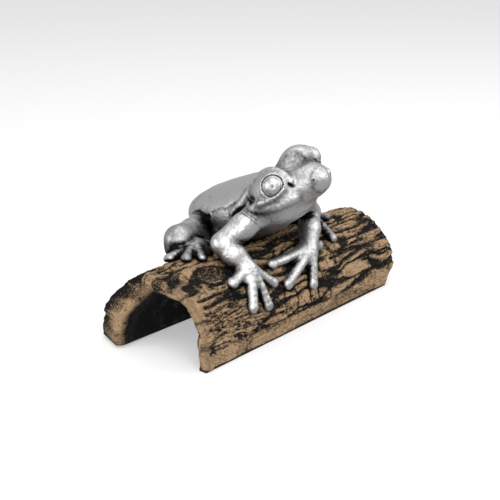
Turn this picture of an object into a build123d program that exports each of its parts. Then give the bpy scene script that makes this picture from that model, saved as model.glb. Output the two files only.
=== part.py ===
"""Tree frog ornament: a silver frog, cast in parts, that sits across a hollow half-log of painted resin.

Frame: millimetres, +Z up, +X along the log, -Y the side that the frog faces.
The origin is at the middle of the base, on the surface that the ornament stands on.
"""

import os
from math import asin, cos, degrees, radians, sin, sqrt

from build123d import *

# Log
LOG_LENGTH = 158.0
LOG_Y = 1.8  # the log lies this far behind the middle of the whole ornament
LOG_WIDTH_LEFT = 67.0
LOG_WIDTH_RIGHT = 55.0
LOG_HEIGHT_LEFT = 39.5
LOG_HEIGHT_RIGHT = 36.5
LOG_WALL = 6.5
FAR_WALL_LEFT = 18.5  # the far wall is thick at its foot, so the tunnel lies towards the near side
FAR_WALL_RIGHT = 12.0
LOG_FOOT = 6.0  # height at which the straight foot of the wall turns into the arch
LIP_SETBACK = 8.0  # how far the near wall's end falls back from the tip of the lip at the ridge
NOTCH_DEPTH = 16.5  # how far the lip is torn back on the far side of the ridge
FURROW_RADIUS = 1.3
FURROW_DEPTH = 1.1
FURROW_STRIDE = 24.0
FURROW_SWAY = 2.5  # degrees
CRACK_STRIDE = 9.0  # degrees
KNOT_PLACE = (-47.0, 24.0)  # x and angle from the ridge
KNOT_RADIUS = 14.0
KNOT_DEPTH = 1.2

# Felt strips under the two walls
FELT_THICKNESS = 1.5
FELT_INSET = 1.2
FELT_END_INSET = 8.0

# Frog: place, lean and torso
FROG_X = -2.6
FROG_Y = -0.4
FROG_ABOVE_LOG = 24.0  # body axis over the log's ridge
FROG_PITCH = 17.3
FROG_ROLL = 8.6
TORSO_LENGTH = 92.0
TORSO_WIDTH = 41.0
TORSO_HEIGHT = 29.0

# Eyes and lids
EYE_RADIUS = 5.3
HEAD_TILT = 1.75  # the left eye sits this much above the mean, the right one below it
LID_RADIUS = 8.0
LID_SETBACK = 4.6
EYE_CLEARANCE = 0.15
BROW_RADIUS = 7.5
BROW_SETBACK = 8.0
BROW_DROP = 4.0

# Carving of the head
MOUTH_HEIGHT = 0.7
MOUTH_DEPTH = 0.7
NOSTRIL_RADIUS = 0.8
EARDRUM_RADIUS = 3.4
EARDRUM_DEPTH = 0.8
BROW_DENT_RADIUS = 8.0
BROW_DENT_DEPTH = 1.2

# Limbs
SHOULDER_RADIUS = 6.4
ELBOW_RADIUS = 5.5
WRIST_RADIUS = 4.4
HIP_RADIUS = 6.6
KNEE_RADIUS = 7.4
ANKLE_RADIUS = 4.2
BEND_SWELL = 1.06  # an elbow, knee or ankle is this much thicker than the limb beside it
PALM_RADIUS = 6.0
DIGIT_RADIUS = 2.0
PAD_RADIUS = 2.5
SOCKET_DEPTH = 4.0
SOCKET_CLEARANCE = 0.2
GLUE_GAP = 0.2  # between a hand or foot and the bark

# Fixings
BOSS_RADIUS = 7.0
BOSS_Y = 5.0
SEAT_WEB = 3.2  # log roof left between the boss and the washer
SCREW_RADIUS = 2.0
SCREW_LENGTH = 14.0
SCREW_HEAD_RADIUS = 3.6
SCREW_HEAD_HEIGHT = 2.4
WASHER_RADIUS = 5.0
WASHER_THICKNESS = 1.0
SCREW_CLEARANCE = 0.1
PIN_RADIUS = 1.0
PIN_LENGTH = 7.0
PIN_CLEARANCE = 0.05

# Half log

def log_half_width(x):
    share = 0.5 + x / LOG_LENGTH
    return (LOG_WIDTH_LEFT + (LOG_WIDTH_RIGHT - LOG_WIDTH_LEFT) * share) / 2


def log_height(x):
    share = 0.5 + x / LOG_LENGTH
    return LOG_HEIGHT_LEFT + (LOG_HEIGHT_RIGHT - LOG_HEIGHT_LEFT) * share


def bark_normal(x, angle):
    a = radians(angle)
    return Vector(0, -sin(a) / log_half_width(x), cos(a) / (log_height(x) - LOG_FOOT)).normalized()


def on_bark(x, angle, lift=0.0):
    """Point on the bark at x, angle degrees from the ridge towards the near side, raised by lift."""
    a = radians(angle)
    rise = log_height(x) - LOG_FOOT
    point = Vector(x, LOG_Y - log_half_width(x) * sin(a), LOG_FOOT + rise * cos(a))
    return point + bark_normal(x, angle) * lift


def arch_section(x, near_margin, far_margin):
    """Outline across the log, moved outwards at the near wall and the ridge, and at the far wall."""
    near = LOG_Y - log_half_width(x) - near_margin
    far = LOG_Y + log_half_width(x) + far_margin
    rise = log_height(x) - LOG_FOOT + near_margin
    with BuildSketch(Plane.YZ.offset(x)) as section:
        with BuildLine():
            middle = ((near + far) / 2, LOG_FOOT)
            EllipticalCenterArc(middle, (far - near) / 2, rise, start_angle=0, arc_size=180)
            Polyline((near, LOG_FOOT), (near, FELT_THICKNESS), (far, FELT_THICKNESS), (far, LOG_FOOT))
        make_face()
    return section.sketch


LOG_ENDS = (-LOG_LENGTH / 2, LOG_LENGTH / 2)
CLEAR_OF_LIP = LOG_ENDS[0] - LOG_WALL
SEAT_FAR_EDGE = degrees(asin((BOSS_Y + BOSS_RADIUS) / log_half_width(FROG_X)))
SEAT_Z = on_bark(FROG_X, -SEAT_FAR_EDGE).Z - GLUE_GAP
SEAT = Plane((FROG_X, LOG_Y + BOSS_Y, SEAT_Z))
WASHER_SEAT = SEAT.offset(-SEAT_WEB)

# A hand or foot is fixed by a pin at right angles to the bark.
# Its place is x, as a share of the torso's length, and the angle from the ridge
PIN_PLACES = {
    "right_hand": (-0.345, 36.0),
    "left_hand": (0.13, 39.0),
    "right_foot": (-0.4, -14.0),
    "left_foot": (0.39, -8.0),
}


def paw_place(share, angle):
    return share * TORSO_LENGTH, angle


def pin_plane(place):
    spot = paw_place(*PIN_PLACES[place])
    return Plane(on_bark(*spot), x_dir=(1, 0, 0), z_dir=bark_normal(*spot))


# Broken left end, seen from the side: share of the depth with share of the log's height
NEAR_LIP = ((0.9, 0.0), (0.85, 0.35), (1.0, 0.6), (0.85, 0.83), (0.5, 0.94), (0.0, 1.0))
FAR_TEAR = (
    (0.15, 0.0), (0.15, 0.2), (0.22, 0.44), (0.56, 0.69), (0.88, 0.87), (1.0, 0.96), (0.95, 1.02),
)

# Main furrows along the bark: angle from the ridge, first and last x as shares of half the length
FURROWS = (
    (-78, -0.7, 0.5), (-70, -0.9, -0.1), (-70, 0.05, 0.95), (-62, -0.88, 0.2), (-62, 0.35, 0.97),
    (-54, -0.6, 0.6), (-45, -0.28, 0.95), (-38, -0.85, -0.4), (-38, 0.0, 0.8), (-30, 0.45, 0.95),
    (-21, 0.5, 0.9), (-12, 0.68, 0.98), (-4, 0.66, 0.9), (5, 0.62, 0.97), (13, 0.52, 0.9),
    (21, 0.5, 0.98), (29, 0.55, 0.8), (37, 0.5, 0.97), (45, 0.42, 0.75), (53, 0.35, 0.98),
    (61, 0.62, 0.95), (78, 0.3, 0.95), (8, -0.88, -0.68), (42, -0.85, -0.55), (49, -0.82, -0.5),
    (56, -0.84, -0.42), (63, -0.86, -0.3), (70, -0.84, -0.25), (77, -0.86, -0.2), (84, -0.8, 0.1),
)
# Cracks across the grain: x as a share of half the length, first and last angle
CRACKS = (
    (0.4, 36, 62), (0.27, 60, 86), (0.06, 66, 88), (-0.06, 62, 87), (0.16, 68, 80),
    (-0.5, -60, -38), (0.3, -60, -40),
)


def furrow_points(angle, first, last):
    """Points along a furrow that sways about its angle."""
    count = max(2, round((last - first) * LOG_LENGTH / 2 / FURROW_STRIDE) + 1)
    points = []
    for i in range(count):
        x = (first + (last - first) * i / (count - 1)) * LOG_LENGTH / 2
        sway = FURROW_SWAY * sin(angle + x / FURROW_STRIDE)
        points.append(on_bark(x, angle + sway, FURROW_RADIUS - FURROW_DEPTH))
    return points


def crack_points(x, first, last):
    """Ends of the straight pieces of a crack, close enough to follow the arch."""
    count = max(2, round((last - first) / CRACK_STRIDE) + 1)
    angles = [first + (last - first) * i / (count - 1) for i in range(count)]
    return [on_bark(x * LOG_LENGTH / 2 + sin(a), a, FURROW_RADIUS - FURROW_DEPTH) for a in angles]


def groove(points):
    """Round rods through the points, to be cut away."""
    rods = []
    for start, end in zip(points, points[1:]):
        with BuildSketch(Plane(start, z_dir=end - start)) as rod:
            Circle(FURROW_RADIUS)
        rods.append(extrude(rod.sketch, amount=(end - start).length, mode=Mode.PRIVATE))
    return rods


def break_end(profile, depth, reach):
    """Cuts one half of the left end back to a profile, from the ridge outwards."""
    with BuildSketch(Plane.XZ.offset(-LOG_Y)) as cut:
        with BuildLine():
            lip = Spline([(LOG_ENDS[0] + back * depth, up * LOG_HEIGHT_LEFT) for back, up in profile])
            Polyline(lip @ 1, (CLEAR_OF_LIP, (lip @ 1).Y), (CLEAR_OF_LIP, 0), lip @ 0)
        make_face()
    extrude(cut.sketch, amount=reach, mode=Mode.SUBTRACT)


with BuildPart() as log_envelope:
    loft([arch_section(x, GLUE_GAP, GLUE_GAP) for x in LOG_ENDS], ruled=True)

with BuildPart() as log_shell:
    loft([arch_section(x, 0, 0) for x in LOG_ENDS], ruled=True)
    tunnel_ends = zip(LOG_ENDS, (FAR_WALL_LEFT, FAR_WALL_RIGHT))
    loft([arch_section(x, -LOG_WALL, -wall) for x, wall in tunnel_ends], ruled=True, mode=Mode.SUBTRACT)
    # Broken left end: the lip runs out to a tip at the ridge, and is torn back on the far side of it
    break_end(NEAR_LIP, LIP_SETBACK, LOG_WIDTH_LEFT)
    break_end(FAR_TEAR, NOTCH_DEPTH, -LOG_WIDTH_LEFT)
    grooves = [furrow_points(*furrow) for furrow in FURROWS] + [crack_points(*crack) for crack in CRACKS]
    add([rod for points in grooves for rod in groove(points)], mode=Mode.SUBTRACT)
    # Knot: a shallow dish beside the frog's right hand
    with Locations(on_bark(*KNOT_PLACE, KNOT_RADIUS - KNOT_DEPTH)):
        Sphere(KNOT_RADIUS, mode=Mode.SUBTRACT)
    # Seat for the frog's boss, with the screw hole and the washer's recess under it
    with BuildSketch(SEAT):
        Circle(BOSS_RADIUS + GLUE_GAP)
    extrude(amount=LOG_WALL, mode=Mode.SUBTRACT)
    with BuildSketch(SEAT):
        Circle(SCREW_RADIUS + SCREW_CLEARANCE)
    extrude(amount=-LOG_WALL, mode=Mode.SUBTRACT)
    with BuildSketch(WASHER_SEAT):
        Circle(WASHER_RADIUS + SCREW_CLEARANCE)
    extrude(amount=-2 * LOG_WALL, mode=Mode.SUBTRACT)
    for place in PIN_PLACES:
        with BuildSketch(pin_plane(place)):
            Circle(PIN_RADIUS + PIN_CLEARANCE)
        extrude(amount=PIN_LENGTH / 2 + GLUE_GAP, both=True, mode=Mode.SUBTRACT)
log_shell.part.label = "log_shell"

# Frog

FROG_FORWARD = Vector(0, -1, 0).rotate(Axis.X, -FROG_PITCH)
FROG_UP = Vector(0, 0, 1).rotate(Axis.X, -FROG_PITCH).rotate(Axis((0, 0, 0), FROG_FORWARD), FROG_ROLL)
FROG_ORIGIN = (FROG_X, LOG_Y + FROG_Y, log_height(FROG_X) + FROG_ABOVE_LOG)
FROG = Plane(FROG_ORIGIN, x_dir=FROG_FORWARD, z_dir=FROG_UP)
RIGHT, LEFT = -1, 1


def on_frog(forward, left, up):
    """Point in the frog's own frame, given in the ornament's frame."""
    return FROG.from_local_coords(Vector(forward, left, up))


def torso_section(forward, up, half_width, half_height):
    """Cross-section of the torso, from shares of its length, width and height."""
    centre = on_frog(forward * TORSO_LENGTH, 0, up * TORSO_HEIGHT)
    with BuildSketch(Plane(centre, x_dir=FROG.y_dir, z_dir=FROG_FORWARD)) as section:
        Ellipse(half_width * TORSO_WIDTH, half_height * TORSO_HEIGHT)
    return section.sketch


# Place along the body, height of the middle, half width and half height, as shares of the torso
TORSO_SECTIONS = (
    (-0.482, -0.16, 0.07, 0.07), (-0.465, -0.16, 0.16, 0.16), (-0.42, -0.17, 0.27, 0.27),
    (-0.33, -0.19, 0.37, 0.38), (-0.2, -0.22, 0.44, 0.48), (-0.05, -0.22, 0.48, 0.52),
    (0.1, -0.18, 0.46, 0.5), (0.2, -0.12, 0.46, 0.44), (0.3, -0.05, 0.41, 0.36),
    (0.39, -0.01, 0.3, 0.3), (0.45, 0.0, 0.215, 0.21), (0.472, -0.01, 0.15, 0.15),
    (0.484, -0.02, 0.08, 0.08),
)


# Places on the head, as shares of the torso's length, width and height
EYE_PLACE = (0.285, 0.366, 0.243)
EARDRUM_PLACE = (0.143, 0.415, 0.04)
NOSTRIL_PLACE = (0.457, 0.137, 0.1)
BROW_DENT_PLACE = (0.33, 0.0, 0.29)
MOUTH_UP = -0.17
MOUTH_SECTIONS = [row for row in TORSO_SECTIONS if 0.15 < row[0] < 0.46]


def eye_axis(side):
    return (FROG_FORWARD * 0.6 + FROG.y_dir * (0.78 * side) + FROG_UP * 0.2).normalized()


def body_point(side, forward, out, up):
    """Point of the frog from shares of the torso's length, width and height; left is +1."""
    return on_frog(forward * TORSO_LENGTH, side * out * TORSO_WIDTH, up * TORSO_HEIGHT)


def eye_centre(side):
    return body_point(side, *EYE_PLACE) + FROG_UP * (side * HEAD_TILT)


def mouth_edge(row):
    """Where the head's side lies at the height of the mouth, at one cross-section."""
    forward, up, half_width, half_height = row
    share = (MOUTH_UP - up) / half_height
    return forward * TORSO_LENGTH, half_width * TORSO_WIDTH * sqrt(1 - share * share) - MOUTH_DEPTH


def tube(points, radii):
    """Round limb through the points, with one radius for each."""
    rings = []
    for i, (point, radius) in enumerate(zip(points, radii)):
        ahead = points[min(i + 1, len(points) - 1)]
        behind = points[max(i - 1, 0)]
        with BuildSketch(Plane(point, z_dir=ahead - behind)) as ring:
            Circle(radius)
        rings.append(ring.sketch)
    loft(rings)


def ball(point, radius, mode=Mode.ADD):
    with Locations(point):
        Sphere(radius, mode=mode)


def digit(root, tip):
    """Finger or toe that lies on the bark, from the palm to a round pad at tip."""
    x, angle = tip
    from_x, from_angle = root
    lift = DIGIT_RADIUS * 0.8
    middle = on_bark((x + 2 * from_x) / 3, (angle + 2 * from_angle) / 3, 2 * lift)
    near_tip = on_bark((2 * x + from_x) / 3, (2 * angle + from_angle) / 3, 1.3 * lift)
    end = on_bark(x, angle, lift)
    start = on_bark(from_x, from_angle, 2.2 * lift)
    radii = [1.3 * DIGIT_RADIUS, 1.15 * DIGIT_RADIUS, DIGIT_RADIUS, DIGIT_RADIUS]
    tube([start, middle, near_tip, end], radii)
    pad = on_bark(x, angle, PAD_RADIUS * 0.55)
    with Locations(Plane(pad, x_dir=end - start, z_dir=bark_normal(x, angle))):
        Sphere(PAD_RADIUS)


# Where a limb leaves the torso, as shares of its length, width and height
SHOULDER = (0.12, 0.38, -0.24)
HIP = (-0.337, 0.244, -0.31)


def over_ridge(x, y, above):
    """Bend of a limb over the log's ridge, from shares of the torso's length."""
    return Vector(x * TORSO_LENGTH, LOG_Y + y * TORSO_LENGTH, log_height(FROG_X) + above * TORSO_LENGTH)


RIGHT_ELBOW = over_ridge(-0.39, -0.1, 0.086)
LEFT_ELBOW = over_ridge(0.325, -0.08, 0.088)
RIGHT_KNEE = over_ridge(-0.45, 0.15, 0.06)
LEFT_KNEE = over_ridge(0.37, 0.155, 0.108)
RIGHT_ANKLE = over_ridge(-0.315, 0.295, 0.018)
LEFT_ANKLE = over_ridge(0.27, 0.305, 0.018)

# Tips of the fingers and toes, placed as the pins are
RIGHT_FINGERS = ((-0.465, 41.0), (-0.415, 64.0), (-0.308, 67.0), (-0.215, 52.0))
LEFT_FINGERS = ((-0.147, 38.0), (-0.115, 58.0), (0.07, 66.0), (0.25, 36.0))
RIGHT_TOES = ((-0.587, -12.0), (-0.545, 0.0), (-0.475, 6.0), (-0.397, 1.0), (-0.295, -8.0))
LEFT_TOES = ((0.565, -16.0), (0.51, 7.0), (0.39, 34.0), (0.41, 8.0), (0.305, -14.0))


def socket_plane(root, bend):
    return Plane(root, z_dir=bend - root)


def leg_upper(root, bend, radius, bend_radius):
    """Round spigot that sits in the torso's socket, then the upper limb to its bend."""
    way = (bend - root).normalized()
    spigot = root + way * SOCKET_DEPTH
    middle = root + (bend - root) * 0.6
    tube([root, spigot, middle, bend], [radius, radius, radius, bend_radius])
    ball(bend, BEND_SWELL * bend_radius)


ROOTS = {
    "right_shoulder": (body_point(RIGHT, *SHOULDER), RIGHT_ELBOW, SHOULDER_RADIUS),
    "left_shoulder": (body_point(LEFT, *SHOULDER), LEFT_ELBOW, SHOULDER_RADIUS),
    "right_hip": (body_point(RIGHT, *HIP), RIGHT_KNEE, HIP_RADIUS),
    "left_hip": (body_point(LEFT, *HIP), LEFT_KNEE, HIP_RADIUS),
}

with BuildPart() as frog_torso:
    loft([torso_section(*row) for row in TORSO_SECTIONS])
    for side in (RIGHT, LEFT):
        ball(eye_centre(side) - eye_axis(side) * LID_SETBACK, LID_RADIUS)
        inward = FROG_FORWARD * BROW_SETBACK + (FROG.y_dir * side + FROG_UP) * BROW_DROP
        ball(eye_centre(side) - inward, BROW_RADIUS)
    # Mouth: a groove round the head, a little below the middle of its side
    with BuildSketch(Plane(on_frog(0, 0, MOUTH_UP * TORSO_HEIGHT), x_dir=FROG_FORWARD, z_dir=FROG_UP)):
        front = TORSO_SECTIONS[-1][0] * TORSO_LENGTH
        corner = mouth_edge(MOUTH_SECTIONS[0])[0]
        with Locations(((front + corner) / 2 + MOUTH_DEPTH, 0)):
            Rectangle(front - corner, TORSO_WIDTH)
        with BuildLine():
            right_lip = Spline([mouth_edge(row) for row in MOUTH_SECTIONS])
            left_lip = mirror(right_lip, about=Plane.XZ)
            ThreePointArc(right_lip @ 1, (front - 2 * MOUTH_DEPTH, 0), left_lip @ 1)
            Line(left_lip @ 0, right_lip @ 0)
        make_face(mode=Mode.SUBTRACT)
    extrude(amount=MOUTH_HEIGHT / 2, both=True, mode=Mode.SUBTRACT)
    # Dent between the eyes, then ear drums, nostrils and eye sockets
    brow_dent = body_point(RIGHT, *BROW_DENT_PLACE) + FROG_UP * (BROW_DENT_RADIUS - BROW_DENT_DEPTH)
    ball(brow_dent, BROW_DENT_RADIUS, Mode.SUBTRACT)
    for side in (RIGHT, LEFT):
        eardrum = body_point(side, *EARDRUM_PLACE) + FROG.y_dir * (side * (EARDRUM_RADIUS - EARDRUM_DEPTH))
        ball(eardrum, EARDRUM_RADIUS, Mode.SUBTRACT)
        ball(body_point(side, *NOSTRIL_PLACE), NOSTRIL_RADIUS, Mode.SUBTRACT)
        ball(eye_centre(side), EYE_RADIUS + EYE_CLEARANCE, Mode.SUBTRACT)
    with BuildSketch(SEAT):
        Circle(BOSS_RADIUS)
    extrude(amount=FROG_ABOVE_LOG * 0.6)
    with BuildSketch(SEAT):
        Circle(SCREW_RADIUS + SCREW_CLEARANCE)
    extrude(amount=SCREW_LENGTH, mode=Mode.SUBTRACT)
    for root, bend, radius in ROOTS.values():
        with BuildSketch(socket_plane(root, bend)):
            Circle(radius + SOCKET_CLEARANCE)
        extrude(amount=3 * SOCKET_DEPTH, mode=Mode.SUBTRACT)
frog_torso.part.label = "frog_torso"


def hand_parts(place, tips):
    root = paw_place(*PIN_PLACES[place])
    ball(on_bark(*root, PALM_RADIUS * 0.1), PALM_RADIUS)
    for tip in tips:
        digit(root, paw_place(*tip))


def trim_to_bark(place):
    add(log_envelope.part, mode=Mode.SUBTRACT)
    with BuildSketch(pin_plane(place)) as hole:
        Circle(PIN_RADIUS + PIN_CLEARANCE)
    extrude(hole.sketch, amount=PIN_LENGTH / 2 + GLUE_GAP, mode=Mode.SUBTRACT)


def foreleg(root, elbow, place, tips):
    palm = on_bark(*paw_place(*PIN_PLACES[place]), PALM_RADIUS * 0.5)
    leg_upper(root, elbow, SHOULDER_RADIUS, ELBOW_RADIUS)
    tube([elbow, (elbow + palm) * 0.5, palm], [ELBOW_RADIUS, ELBOW_RADIUS * 0.95, WRIST_RADIUS])
    hand_parts(place, tips)
    trim_to_bark(place)


def hind_leg(root, knee, ankle, place, tips):
    palm = on_bark(*paw_place(*PIN_PLACES[place]), PALM_RADIUS * 0.5)
    leg_upper(root, knee, HIP_RADIUS, KNEE_RADIUS)
    tube([knee, (knee + ankle) * 0.5, ankle], [KNEE_RADIUS * 0.9, KNEE_RADIUS * 0.85, ANKLE_RADIUS])
    ball(ankle, BEND_SWELL * ANKLE_RADIUS)
    tube([ankle, (ankle + palm) * 0.5, palm], [ANKLE_RADIUS, ANKLE_RADIUS * 0.9, ANKLE_RADIUS])
    hand_parts(place, tips)
    trim_to_bark(place)


with BuildPart() as right_foreleg:
    foreleg(ROOTS["right_shoulder"][0], RIGHT_ELBOW, "right_hand", RIGHT_FINGERS)
right_foreleg.part.label = "right_foreleg"

with BuildPart() as left_foreleg:
    foreleg(ROOTS["left_shoulder"][0], LEFT_ELBOW, "left_hand", LEFT_FINGERS)
left_foreleg.part.label = "left_foreleg"

with BuildPart() as right_hind_leg:
    hind_leg(ROOTS["right_hip"][0], RIGHT_KNEE, RIGHT_ANKLE, "right_foot", RIGHT_TOES)
right_hind_leg.part.label = "right_hind_leg"

with BuildPart() as left_hind_leg:
    hind_leg(ROOTS["left_hip"][0], LEFT_KNEE, LEFT_ANKLE, "left_foot", LEFT_TOES)
left_hind_leg.part.label = "left_hind_leg"

with BuildPart() as right_eye:
    ball(eye_centre(RIGHT), EYE_RADIUS)
right_eye.part.label = "right_eye"

with BuildPart() as left_eye:
    ball(eye_centre(LEFT), EYE_RADIUS)
left_eye.part.label = "left_eye"

# Fixings

with BuildPart() as foot_pins:
    for place in PIN_PLACES:
        with BuildSketch(pin_plane(place)):
            Circle(PIN_RADIUS)
        extrude(amount=PIN_LENGTH / 2, both=True)
foot_pins.part.label = "foot_pins"

with BuildPart() as belly_washer:
    with BuildSketch(WASHER_SEAT):
        Circle(WASHER_RADIUS)
        Circle(SCREW_RADIUS + SCREW_CLEARANCE, mode=Mode.SUBTRACT)
    extrude(amount=-WASHER_THICKNESS)
belly_washer.part.label = "belly_washer"

HEAD_SEAT = WASHER_SEAT.offset(-WASHER_THICKNESS)
with BuildPart() as belly_screw:
    with BuildSketch(HEAD_SEAT):
        Circle(SCREW_HEAD_RADIUS)
    extrude(amount=-SCREW_HEAD_HEIGHT)
    fillet(belly_screw.edges().sort_by(Axis.Z)[0], SCREW_HEAD_HEIGHT / 3)
    with BuildSketch(HEAD_SEAT):
        Circle(SCREW_RADIUS)
    extrude(amount=SCREW_LENGTH)
    chamfer(belly_screw.edges().sort_by(Axis.Z)[-1], SCREW_RADIUS / 2)
    with BuildSketch(HEAD_SEAT.offset(-SCREW_HEAD_HEIGHT)):
        Rectangle(1.4 * SCREW_HEAD_RADIUS, SCREW_HEAD_RADIUS / 4)
        Rectangle(SCREW_HEAD_RADIUS / 4, 1.4 * SCREW_HEAD_RADIUS)
    extrude(amount=SCREW_HEAD_HEIGHT / 2, mode=Mode.SUBTRACT)
belly_screw.part.label = "belly_screw"


def felt_outline(side):
    """Strip under one wall, set in from the wall's faces."""
    corners = []
    for x in (LOG_ENDS[0] + FELT_END_INSET, LOG_ENDS[1] - FELT_END_INSET):
        corners.append((x, LOG_Y + side * (log_half_width(x) - FELT_INSET)))
    for x in (LOG_ENDS[1] - FELT_END_INSET, LOG_ENDS[0] + FELT_END_INSET):
        corners.append((x, LOG_Y + side * (log_half_width(x) - LOG_WALL + FELT_INSET)))
    return corners


with BuildPart() as near_felt_strip:
    with BuildSketch():
        Polygon(*felt_outline(-1), align=None)
    extrude(amount=FELT_THICKNESS)
near_felt_strip.part.label = "near_felt_strip"

with BuildPart() as far_felt_strip:
    with BuildSketch():
        Polygon(*felt_outline(1), align=None)
    extrude(amount=FELT_THICKNESS)
far_felt_strip.part.label = "far_felt_strip"

os.makedirs("parts", exist_ok=True)
export_step(log_shell.part, "parts/log_shell.step")
export_step(frog_torso.part, "parts/frog_torso.step")
export_step(right_foreleg.part, "parts/right_foreleg.step")
export_step(left_foreleg.part, "parts/left_foreleg.step")
export_step(right_hind_leg.part, "parts/right_hind_leg.step")
export_step(left_hind_leg.part, "parts/left_hind_leg.step")
export_step(right_eye.part, "parts/right_eye.step")
export_step(left_eye.part, "parts/left_eye.step")
export_step(foot_pins.part, "parts/foot_pins.step")
export_step(belly_washer.part, "parts/belly_washer.step")
export_step(belly_screw.part, "parts/belly_screw.step")
export_step(near_felt_strip.part, "parts/near_felt_strip.step")
export_step(far_felt_strip.part, "parts/far_felt_strip.step")
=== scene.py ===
import math

import bpy
import numpy as np
import openvdb
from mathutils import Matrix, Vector


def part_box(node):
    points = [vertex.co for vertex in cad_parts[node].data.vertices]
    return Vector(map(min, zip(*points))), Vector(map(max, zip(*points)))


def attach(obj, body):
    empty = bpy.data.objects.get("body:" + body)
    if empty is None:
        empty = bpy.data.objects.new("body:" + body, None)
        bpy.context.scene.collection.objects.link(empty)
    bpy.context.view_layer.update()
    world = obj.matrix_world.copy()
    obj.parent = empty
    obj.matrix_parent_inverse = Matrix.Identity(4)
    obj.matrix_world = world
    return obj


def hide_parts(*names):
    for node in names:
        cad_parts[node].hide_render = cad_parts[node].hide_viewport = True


# Silver tree frog that sits across a hollow half-log of painted resin.
# The forms are worked out in millimetres in the frame's axes:
# +X along the log, -Y the way the frog faces, +Z up.

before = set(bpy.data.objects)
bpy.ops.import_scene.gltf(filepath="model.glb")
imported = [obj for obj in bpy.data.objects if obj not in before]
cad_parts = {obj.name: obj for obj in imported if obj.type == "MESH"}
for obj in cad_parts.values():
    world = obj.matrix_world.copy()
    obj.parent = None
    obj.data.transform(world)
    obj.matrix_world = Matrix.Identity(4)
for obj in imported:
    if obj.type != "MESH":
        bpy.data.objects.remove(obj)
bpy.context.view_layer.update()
MM = 0.001

# Log
LOG_LENGTH = 158.0
LOG_Y = 1.8
LOG_WIDTH = (67.0, 55.0)
LOG_HEIGHT = (39.5, 36.5)
LOG_WALL = 6.5
FAR_WALL = (18.5, 12.0)
LOG_FOOT = 6.0
FELT_THICKNESS = 1.5
LOG_LEFT, LOG_RIGHT = -LOG_LENGTH / 2, LOG_LENGTH / 2
LIP_SETBACK = 8.0
NOTCH_DEPTH = 16.5
FAR_TOE, FAR_TOE_LENGTH = 4.0, 9.0
RIGHT_FOOT_SETBACK = 6.5
FOOT_ANGLE = 8.3  # degrees of the arch that the straight foot of a wall counts for
NEAR_LIP = ((0.9, 0.0), (0.85, 0.35), (1.0, 0.6), (0.85, 0.83), (0.5, 0.94), (0.0, 1.0))
FAR_TEAR = ((0.0, 0.0), (0.7, 0.05), (1.0, 0.14), (0.88, 0.27), (0.56, 0.39), (0.22, 0.47), (0.15, 0.55))

# Bark: furrows along the grain, cracks across it, and the places that differ, in x and degrees from the ridge
FURROW_HALF_WIDTH = 1.25
FURROW_STRIDE = 24.0
FURROW_SWAY = 2.5
CRACK_STRIDE = 9.0
FURROWS = (
    (-78, -0.7, 0.5), (-70, -0.9, -0.1), (-70, 0.05, 0.95), (-62, -0.88, 0.2), (-62, 0.35, 0.97),
    (-54, -0.6, 0.6), (-45, -0.28, 0.95), (-38, -0.85, -0.4), (-38, 0.0, 0.8), (-30, 0.45, 0.95),
    (-21, 0.5, 0.9), (-12, 0.68, 0.98), (-4, 0.66, 0.9), (5, 0.62, 0.97), (13, 0.52, 0.9),
    (21, 0.5, 0.98), (29, 0.55, 0.8), (37, 0.5, 0.97), (45, 0.42, 0.75), (53, 0.35, 0.98),
    (61, 0.62, 0.95), (78, 0.3, 0.95), (8, -0.88, -0.68), (42, -0.85, -0.55), (49, -0.82, -0.5),
    (56, -0.84, -0.42), (63, -0.86, -0.3), (70, -0.84, -0.25), (77, -0.86, -0.2), (84, -0.8, 0.1),
)
CRACKS = (
    (0.4, 36, 62), (0.27, 60, 86), (0.06, 66, 88), (-0.06, 62, 87), (0.16, 68, 80),
    (-0.5, -60, -38), (0.3, -60, -40),
)
MM_PER_DEGREE = 0.545
KNOT_PLACE, KNOT_REACH = (-47.0, 24.0), (8.5, 10.0)
FINE_PLACE, FINE_REACH = (-50.0, 71.0), (24.0, 19.0)
PLATE_PLACE, PLATE_REACH = (43.0, 69.0), (12.0, 7.0)
CORNER_PLACE, CORNER_REACH = (-70.0, 55.0), (7.0, 14.0)
KNOT_DEPTH, KNOT_RIM, LIP_HOLLOW, CORNER_SWELL = 1.2, 0.5, 1.3, 1.2

# Frog
RIGHT, LEFT = -1, 1
FROG_X, FROG_Y, FROG_ABOVE_LOG = -2.6, -0.4, 24.0
FROG_PITCH = math.radians(17.3)
FROG_ROLL = math.radians(8.6)
TORSO_LENGTH, TORSO_WIDTH, TORSO_HEIGHT = 92.0, 41.0, 29.0
TORSO_SECTIONS = np.array([
    (-0.43, -0.165, 0.2, 0.2), (-0.33, -0.19, 0.37, 0.38), (-0.2, -0.22, 0.44, 0.48),
    (-0.05, -0.22, 0.48, 0.52), (0.1, -0.18, 0.46, 0.5), (0.2, -0.12, 0.46, 0.44),
    (0.3, -0.035, 0.41, 0.345), (0.37, 0.015, 0.31, 0.28), (0.45, 0.04, 0.15, 0.16),
])
RUMP = ((-34.0, 0.0, -5.0), (10.8, 12.3, 8.8))
BELLY = ((-12.0, 0.0, -16.5), (19.0, 13.0, 7.0))
CHIN = ((17.0, 0.0, -9.0), (13.0, 14.5, 6.5))
SNOUT = ((34.5, 0.0, 1.5), (10.3, 9.8, 7.9))
HAUNCH = ((-30.0, -8.5, -12.5), (8.0, 6.0, 7.0))
EYE_RADIUS = 5.3
EYE_PLACE = (26.22, 15.0, 7.05)
EYE_CLEARANCE = 0.1
EYE_CARVING = 0.2
IRIS_ANGLE, IRIS_STAIN = math.radians(13), 0.45
EYE_RING_ANGLE, EYE_RING_STAIN = math.radians(50), 0.3
HEAD_TILT = 1.75
LID_RADIUS, LID_SETBACK = {RIGHT: 8.0, LEFT: 9.2}, {RIGHT: 4.6, LEFT: 5.9}
LID_RIM_OUT, LID_RIM_THICKNESS = 0.9, 0.7
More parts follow.
